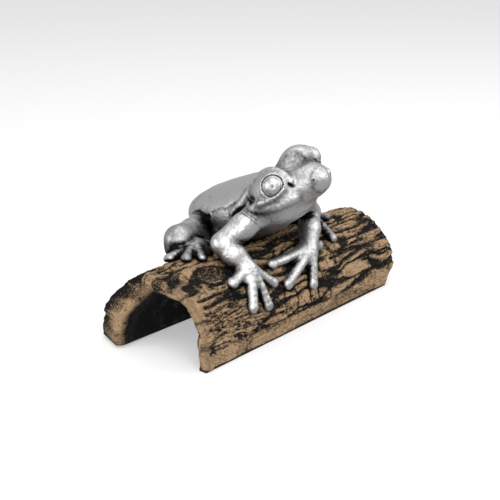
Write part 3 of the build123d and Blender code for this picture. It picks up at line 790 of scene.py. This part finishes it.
def log_base():
    """Closed shell of the log, smooth, with the places on its bark kept in attributes."""
    outer_count = INNER_GIRTH * OUTER_PER_INNER + 1
    angles, drops = arch_line(outer_count)
    inner_angles, inner_drops = angles[::OUTER_PER_INNER], drops[::OUTER_PER_INNER]
    left, right = log_ends(angles, drops)
    # Rows lie closer together towards the ends
    share = np.linspace(0, 1, LOG_ROWS)[:, None]
    share = 0.5 - 0.06 * np.cos(math.pi * share) - 0.44 * (1 - 2 * share)
    share = (share - share[0]) / (share[-1] - share[0])
    x = left + (right - left) * share
    from_end = np.minimum(x - left, right - x)
    bullnose = np.clip(1 - from_end / (LOG_WALL * 0.45), 0, 1)
    pull = (1 - np.sqrt(1 - bullnose ** 2)) * LOG_WALL * 0.42
    outer = np.stack([x, *arch_points(x, angles, drops, -pull, -pull)], -1)
    inner_pull = pull[:, ::OUTER_PER_INNER]
    near_end = np.exp(-((x - left) / FAR_TOE_LENGTH)[:, ::OUTER_PER_INNER])
    inner_x = x[:, ::OUTER_PER_INNER] - FAR_TOE * smooth_step(-inner_angles, 50, 88) * near_end
    far_wall = FAR_WALL[0] + (FAR_WALL[1] - FAR_WALL[0]) * (0.5 + inner_x / LOG_LENGTH)
    tunnel = arch_points(inner_x, inner_angles, inner_drops, inner_pull - LOG_WALL, inner_pull - far_wall)
    inner = np.stack([inner_x, *tunnel], -1)[:, ::-1]
    loop = np.concatenate([outer, inner], 1)
    piece = mesh_object("log_bark", loop.reshape(-1, 3), shell_faces(*loop.shape[:2]))
    places = bark_places(x, np.broadcast_to(angles + np.sign(angles) * drops * FOOT_ANGLE, x.shape))
    places["bark"] = 1 - 0.7 * bullnose
    places["lip"] = bullnose
    rim_width = 5.0 + 2.0 * np.sin(0.19 * angles) + 1.5 * np.sin(0.43 * angles + 1)
    rim = (1 - smooth_step(x - left, 1.0, rim_width)) * (3.1 * smooth_step(angles, -25, 5) - 1.8)
    places["rim"] = rim
    places["swell"] = places["swell"] + 0.7 * np.maximum(rim, 0)
    seat = limbs_field(outer.reshape(-1, 3)).reshape(x.shape)
    places["seat"] = 1 - smooth_step(seat, 0.4, 2.0)
    for name, values in places.items():
        inside = np.zeros(inner_x.shape)
        if name in ("along", "across", "lip"):
            inside = values[:, ::OUTER_PER_INNER][:, ::-1]
        store(piece, name, np.concatenate([values, inside], 1).ravel())
    return piece


# Node helpers

def new_material(name):
    material = bpy.data.materials.new(name)
    material.use_nodes = True
    return material, material.node_tree.nodes, material.node_tree.links


def ramp(nodes, stops):
    """Colour ramp through the stops, each a position and a colour."""
    node = nodes.new("ShaderNodeValToRGB")
    elements = node.color_ramp.elements
    elements[0].position, elements[0].color = stops[0][0], (*stops[0][1], 1)
    elements[1].position, elements[1].color = stops[-1][0], (*stops[-1][1], 1)
    for position, color in stops[1:-1]:
        elements.new(position).color = (*color, 1)
    return node


def grey(value):
    return (value, value, value)


class Graph:
    """Short ways to add nodes to a shader or geometry tree."""

    def __init__(self, tree):
        self.nodes, self.links = tree.nodes, tree.links

    def put(self, value, socket):
        if isinstance(value, (int, float)):
            socket.default_value = value
        else:
            self.links.new(value, socket)

    def math(self, operation, *values):
        node = self.nodes.new("ShaderNodeMath")
        node.operation = operation
        for value, socket in zip(values, node.inputs):
            self.put(value, socket)
        return node.outputs[0]

    def add(self, a, b):
        return self.math("ADD", a, b)

    def times(self, a, b):
        return self.math("MULTIPLY", a, b)

    def mix(self, a, b, share):
        return self.add(a, self.times(self.math("SUBTRACT", b, a), share))

    def combine(self, x, y, z=0.0):
        node = self.nodes.new("ShaderNodeCombineXYZ")
        for value, socket in zip((x, y, z), node.inputs):
            self.put(value, socket)
        return node.outputs[0]

    def noise(self, vector, scale, detail):
        """Noise about zero."""
        node = self.nodes.new("ShaderNodeTexNoise")
        node.inputs["Scale"].default_value = scale
        node.inputs["Detail"].default_value = detail
        self.links.new(vector, node.inputs["Vector"])
        return self.math("SUBTRACT", node.outputs["Fac"], 0.5)

    def span(self, value, low, high):
        node = self.nodes.new("ShaderNodeMapRange")
        node.interpolation_type = "SMOOTHSTEP"
        for item, socket in zip((value, low, high), node.inputs):
            self.put(item, socket)
        return node.outputs[0]

    def ridged(self, vector, detail, low, high, scale=1.0):
        """Plates parted by the lines where a noise is zero: 0 in the lines, 1 on the plates."""
        return self.span(self.math("ABSOLUTE", self.noise(vector, scale, detail)), low, high)


# Materials

def shader_attribute(graph, name):
    node = graph.nodes.new("ShaderNodeAttribute")
    node.attribute_name = name
    return node.outputs["Fac"]


def silver_material(name, base, patina):
    """Satin silver with black left in the creases, painted shade where other pieces and the log close it in,
    and a finely worn skin.
    """
    material, nodes, links = new_material(name)
    graph = Graph(material.node_tree)
    shader = nodes["Principled BSDF"]
    place = nodes.new("ShaderNodeTexCoord").outputs["Object"]
    grain = graph.noise(place, 700.0, 4.0)
    cloud = graph.noise(place, 120.0, 6.0)
    blotch = graph.noise(place, 45.0, 3.0)
    # Patina in each piece's creases, plus painted shade where other pieces and the log close a point in
    deep = graph.add(shader_attribute(graph, "crease"), graph.times(shader_attribute(graph, "shade"), 0.85))
    uneven = graph.add(graph.times(cloud, 0.85), graph.times(blotch, 0.4))
    patina_and_shade = graph.add(graph.add(deep, uneven), graph.times(grain, 0.7))
    darkening = ramp(nodes, (
        (0.05, grey(base)), (0.3, grey(base * 0.62)),
        (0.55, grey(base * 0.25)), (0.75, grey(patina))))
    links.new(patina_and_shade, darkening.inputs["Fac"])
    links.new(darkening.outputs["Color"], shader.inputs["Base Color"])
    gloss = ramp(nodes, ((0.0, grey(0.36)), (0.6, grey(0.6))))
    links.new(patina_and_shade, gloss.inputs["Fac"])
    links.new(gloss.outputs["Color"], shader.inputs["Roughness"])
    shader.inputs["Metallic"].default_value = 1.0
    bump = nodes.new("ShaderNodeBump")
    bump.inputs["Strength"].default_value = 0.45
    bump.inputs["Distance"].default_value = 0.0009
    links.new(graph.add(grain, cloud), bump.inputs["Height"])
    links.new(bump.outputs["Normal"], shader.inputs["Normal"])
    return material


def plain_material(name, color, roughness, metallic=0.0):
    material, nodes, _ = new_material(name)
    shader = nodes["Principled BSDF"]
    shader.inputs["Base Color"].default_value = (*color, 1)
    shader.inputs["Roughness"].default_value = roughness
    shader.inputs["Metallic"].default_value = metallic
    return material


def bark_material():
    """Painted resin: tan on the raised bark, black wash in the furrows and pits, and black paint inside the
    tunnel taken down to near nothing as painted shade.
    """
    material, nodes, links = new_material("painted_bark")
    graph = Graph(material.node_tree)
    shader = nodes["Principled BSDF"]
    stretch = nodes.new("ShaderNodeMapping")
    stretch.inputs["Scale"].default_value = (0.4, 1.0, 1.0)
    links.new(nodes.new("ShaderNodeTexCoord").outputs["Object"], stretch.inputs["Vector"])
    place = stretch.outputs["Vector"]
    pits = graph.noise(place, 1500.0, 3.0)
    cloud = graph.noise(place, 160.0, 4.0)
    lines = graph.math("SUBTRACT", graph.ridged(place, 2.0, 0.0, 0.05, scale=420.0), 1.0)
    speckle = graph.add(graph.times(pits, 1.4), graph.add(graph.times(cloud, 0.4), graph.times(lines, 0.25)))
    raised = graph.add(graph.times(shader_attribute(graph, "bark_height"), 0.92), 0.08)
    worn = graph.add(raised, speckle)
    wash = ramp(nodes, (
        (0.14, (0.001, 0.001, 0.001)), (0.32, (0.036, 0.025, 0.016)),
        (0.56, (0.165, 0.108, 0.06)), (0.95, (0.345, 0.227, 0.126))))
    links.new(worn, wash.inputs["Fac"])
    shown = graph.math("MAXIMUM", shader_attribute(graph, "bark"), shader_attribute(graph, "lip"))
    # Black paint inside the tunnel, set near zero as painted shade for the shade in there
    inside = nodes.new("ShaderNodeMix")
    inside.data_type = "RGBA"
    links.new(shown, inside.inputs["Factor"])
    inside.inputs["A"].default_value = (0.002, 0.002, 0.002, 1)
    links.new(wash.outputs["Color"], inside.inputs["B"])
    links.new(inside.outputs["Result"], shader.inputs["Base Color"])
    sheen = ramp(nodes, ((0.4, grey(0.85)), (0.9, grey(0.45))))
    links.new(worn, sheen.inputs["Fac"])
    links.new(sheen.outputs["Color"], shader.inputs["Roughness"])
    shader.inputs["Specular IOR Level"].default_value = 0.2
    bump = nodes.new("ShaderNodeBump")
    bump.inputs["Strength"].default_value = 0.7
    bump.inputs["Distance"].default_value = 0.0007
    links.new(speckle, bump.inputs["Height"])
    links.new(bump.outputs["Normal"], shader.inputs["Normal"])
    return material


# Relief of the bark

BARK_INPUTS = {
    "Ridge length": 44.0, "Ridge width": 7.5, "Thread length": 16.0, "Thread width": 3.0,
    "Leaf length": 12.0, "Leaf width": 1.9, "Block length": 6.0, "Block width": 15.0,
    "Depth": 1.5, "Drift": 9.0, "Wobble": 2.6,
}


def bark_relief_tree(material):
    """Geometry nodes that carve ridges, furrows and grain into the log and keep the height for its paint."""
    tree = bpy.data.node_groups.new("bark_relief", "GeometryNodeTree")
    face = tree.interface
    face.new_socket("Geometry", in_out="INPUT", socket_type="NodeSocketGeometry")
    for name, value in BARK_INPUTS.items():
        socket = face.new_socket(name, in_out="INPUT", socket_type="NodeSocketFloat")
        socket.default_value = value
    face.new_socket("Geometry", in_out="OUTPUT", socket_type="NodeSocketGeometry")
    graph = Graph(tree)
    nodes, links = tree.nodes, tree.links
    entry = nodes.new("NodeGroupInput").outputs
    leave = nodes.new("NodeGroupOutput")

    def attribute(name):
        node = nodes.new("GeometryNodeInputNamedAttribute")
        node.data_type = "FLOAT"
        node.inputs["Name"].default_value = name
        return node.outputs["Attribute"]

    def scaled(x, x_size, y, y_size, z=0.0):
        x_share = graph.math("DIVIDE", x, entry[x_size])
        return graph.combine(x_share, graph.math("DIVIDE", y, entry[y_size]), z)

    along, across = attribute("along"), attribute("across")
    place = graph.combine(along, across)
    drift = graph.times(graph.noise(place, 0.04, 1.0), entry["Drift"])
    wobble = graph.times(graph.noise(place, 0.2, 2.0), entry["Wobble"])
    lane = graph.add(attribute("grain"), graph.add(drift, wobble))
    slid = graph.add(along, graph.times(graph.noise(graph.combine(across, along), 0.15, 2.0), 6.0))
    ridges = graph.ridged(scaled(slid, "Ridge length", lane, "Ridge width"), 1.0, 0.015, 0.09)
    threads = graph.ridged(scaled(slid, "Thread length", lane, "Thread width", 5.0), 1.5, 0.0, 0.09)
    leaves = graph.ridged(scaled(slid, "Leaf length", lane, "Leaf width", 9.0), 1.0, 0.0, 0.1)
    blocks = graph.ridged(scaled(slid, "Block length", lane, "Block width", 3.0), 1.0, 0.0, 0.05)
    blocks = graph.math("MAXIMUM", blocks, graph.span(graph.noise(place, 0.05, 0.0), 0.0, 0.04))
    crumbs = graph.noise(place, 0.9, 4.0)
    top = graph.times(ridges, graph.add(0.56, graph.times(threads, 0.44)))
    top = graph.times(top, graph.add(0.4, graph.times(blocks, 0.6)))
    top = graph.mix(top, graph.add(0.12, graph.times(leaves, 0.72)), graph.times(attribute("fine"), 0.9))
    top = graph.math("MINIMUM", top, graph.math("SUBTRACT", 1.0, graph.times(attribute("furrow"), 0.9)))
    top = graph.mix(top, 0.88, graph.times(attribute("plain"), 0.85))
    top = graph.mix(top, graph.add(0.32, graph.times(graph.noise(place, 0.6, 2.0), 0.7)), attribute("knot"))
    height = graph.add(graph.add(top, graph.times(attribute("rim"), 0.3)), graph.times(crumbs, 0.55))
    height = graph.math("MINIMUM", graph.math("MAXIMUM", height, 0.0), 1.0)
    free = graph.math("SUBTRACT", 1.0, attribute("seat"))
    sink = graph.times(graph.math("SUBTRACT", height, 1.0), graph.mix(0.35, 1.0, free))
    rise = graph.add(graph.times(sink, entry["Depth"]), graph.times(attribute("swell"), free))
    push = nodes.new("ShaderNodeVectorMath")
    push.operation = "SCALE"
    links.new(nodes.new("GeometryNodeInputNormal").outputs["Normal"], push.inputs[0])
    links.new(graph.times(graph.times(rise, attribute("bark")), MM), push.inputs["Scale"])
    move = nodes.new("GeometryNodeSetPosition")
    links.new(entry["Geometry"], move.inputs["Geometry"])
    links.new(push.outputs["Vector"], move.inputs["Offset"])
    keep = nodes.new("GeometryNodeStoreNamedAttribute")
    keep.data_type = "FLOAT"
    keep.domain = "POINT"
    keep.inputs["Name"].default_value = "bark_height"
    links.new(move.outputs["Geometry"], keep.inputs["Geometry"])
    links.new(height, keep.inputs["Value"])
    realize = nodes.new("GeometryNodeRealizeInstances")
    links.new(keep.outputs["Geometry"], realize.inputs["Geometry"])
    paint = nodes.new("GeometryNodeSetMaterial")
    paint.inputs["Material"].default_value = material
    links.new(realize.outputs["Geometry"], paint.inputs["Geometry"])
    links.new(paint.outputs["Geometry"], leave.inputs["Geometry"])
    return tree


def apply_tree(piece, tree, inputs):
    """Runs a geometry node tree on the piece and keeps the outcome as a plain mesh."""
    modifier = piece.modifiers.new(tree.name, "NODES")
    modifier.node_group = tree
    for item in tree.interface.items_tree:
        if item.item_type == "SOCKET" and item.in_out == "INPUT" and item.name in inputs:
            modifier[item.identifier] = inputs[item.name]
    graph = bpy.context.evaluated_depsgraph_get()
    finished = bpy.data.meshes.new_from_object(piece.evaluated_get(graph), depsgraph=graph)
    piece.modifiers.remove(modifier)
    piece.data = finished


# Build the pieces

silver = silver_material("satin_silver", 0.6, 0.012)
eye_silver = silver_material("eye_silver", 0.62, 0.05)
bark_paint = bark_material()
steel = plain_material("plain_steel", grey(0.55), 0.35, 1.0)
felt = plain_material("black_felt", grey(0.012), 0.95)


def show(piece, node, material):
    piece.data.materials.clear()
    piece.data.materials.append(material)
    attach(piece, "root")
    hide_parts(node)


torso = surface_mesh("frog_body", torso_field, *cad_box("frog_torso"), VOXEL)
store_hollows(torso, torso_field)
show(torso, "frog_torso", silver)
for name, field in LIMB_FIELDS.items():
    cast = surface_mesh(name + "_cast", field, *LIMB_BOXES[name], LIMB_VOXEL)
    # The hind legs get extra painted shade
    store_hollows(cast, field, HIND_SHADE if "hind" in name else 0.0)
    show(cast, name, silver)
for side, node in ((RIGHT, "right_eye"), (LEFT, "left_eye")):
    show(eye_piece(side), node, eye_silver)
log = log_base()
apply_tree(log, bark_relief_tree(bark_paint), BARK_INPUTS)
show(log, "log_shell", bark_paint)
for node, material in (("foot_pins", steel), ("belly_screw", steel), ("belly_washer", steel),
                       ("near_felt_strip", felt), ("far_felt_strip", felt)):
    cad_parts[node].data.materials.clear()
    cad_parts[node].data.materials.append(material)


# Stage, light and camera

# Lamps: place in metres, width and power, all turned to the middle of the ornament
MIDDLE = (0.0, 0.0, 0.04)
LAMPS = {
    "key": ((-0.35, -0.55, 0.75), 0.5, 3.8),
    "front": ((-0.75, -0.45, 0.3), 0.8, 2.2),
    "right": ((0.55, -0.55, 0.55), 0.7, 2.6),
    "top": ((0.1, 0.1, 0.95), 1.1, 3.4),
    "side": ((-0.75, 0.35, 0.22), 0.5, 2.2),
}
ROOM_LIGHT, ROOM_IN_SILVER = 0.6, 0.54
FLOOR_LIFT, FLOOR_IN_SILVER = 0.4, 0.5


def area_light(name, place, size, power):
    data = bpy.data.lights.new(name, "AREA")
    data.shape = "DISK"
    data.size = size
    data.energy = power
    lamp = bpy.data.objects.new(name, data)
    lamp.location = place
    lamp.rotation_euler = (Vector(MIDDLE) - Vector(place)).to_track_quat("-Z", "Y").to_euler()
    bpy.context.scene.collection.objects.link(lamp)


def floor_material():
    """White floor that the camera sees a little lifted and the silver sees darker."""
    material, nodes, links = new_material("white_floor")
    shader = nodes["Principled BSDF"]
    shader.inputs["Base Color"].default_value = (0.9, 0.9, 0.9, 1)
    shader.inputs["Roughness"].default_value = 0.95
    path = nodes.new("ShaderNodeLightPath")
    glow = nodes.new("ShaderNodeEmission")
    glow.inputs["Strength"].default_value = 1.0
    lifted = nodes.new("ShaderNodeMixShader")
    share = nodes.new("ShaderNodeMath")
    share.operation = "MULTIPLY"
    share.inputs[1].default_value = FLOOR_LIFT
    links.new(path.outputs["Is Camera Ray"], share.inputs[0])
    links.new(share.outputs[0], lifted.inputs["Fac"])
    links.new(shader.outputs["BSDF"], lifted.inputs[1])
    links.new(glow.outputs["Emission"], lifted.inputs[2])
    dim = nodes.new("ShaderNodeEmission")
    dim.inputs["Strength"].default_value = FLOOR_IN_SILVER
    seen = nodes.new("ShaderNodeMixShader")
    links.new(path.outputs["Is Glossy Ray"], seen.inputs["Fac"])
    links.new(lifted.outputs["Shader"], seen.inputs[1])
    links.new(dim.outputs["Emission"], seen.inputs[2])
    links.new(seen.outputs["Shader"], nodes["Material Output"].inputs["Surface"])
    return material


bpy.ops.mesh.primitive_plane_add(size=8.0)
floor = bpy.context.object
floor.name = "floor"
floor.data.materials.append(floor_material())

world = bpy.context.scene.world or bpy.data.worlds.new("studio")
bpy.context.scene.world = world
world.use_nodes = True
nodes, links = world.node_tree.nodes, world.node_tree.links
room = nodes["Background"]
room.inputs["Color"].default_value = (1, 1, 1, 1)
room.inputs["Strength"].default_value = ROOM_LIGHT
reflected = nodes.new("ShaderNodeBackground")
reflected.inputs["Color"].default_value = (1, 1, 1, 1)
reflected.inputs["Strength"].default_value = ROOM_IN_SILVER
path = nodes.new("ShaderNodeLightPath")
either = nodes.new("ShaderNodeMixShader")
links.new(path.outputs["Is Glossy Ray"], either.inputs["Fac"])
links.new(room.outputs["Background"], either.inputs[1])
links.new(reflected.outputs["Background"], either.inputs[2])
links.new(either.outputs["Shader"], nodes["World Output"].inputs["Surface"])

for name, (place, size, power) in LAMPS.items():
    area_light(name, place, size, power)

CAMERA_AZIMUTH = math.radians(48)
CAMERA_DROP = math.radians(19)
CAMERA_DISTANCE = 536.52
CAMERA_TARGET = np.array([-6.73, LOG_Y, 33.44])
level = math.cos(CAMERA_DROP) * np.array([math.sin(CAMERA_AZIMUTH), math.cos(CAMERA_AZIMUTH)])
view_way = np.array([*level, -math.sin(CAMERA_DROP)])
camera_data = bpy.data.cameras.new("photo_camera")
camera_data.sensor_width = 36.0
camera_data.lens = 79.2
camera = bpy.data.objects.new("photo_camera", camera_data)
camera.location = Vector((CAMERA_TARGET - CAMERA_DISTANCE * view_way) * MM)
camera.rotation_euler = Vector(view_way).to_track_quat("-Z", "Y").to_euler()
bpy.context.scene.collection.objects.link(camera)
bpy.context.scene.camera = camera
bpy.context.scene.view_settings.view_transform = "Standard"
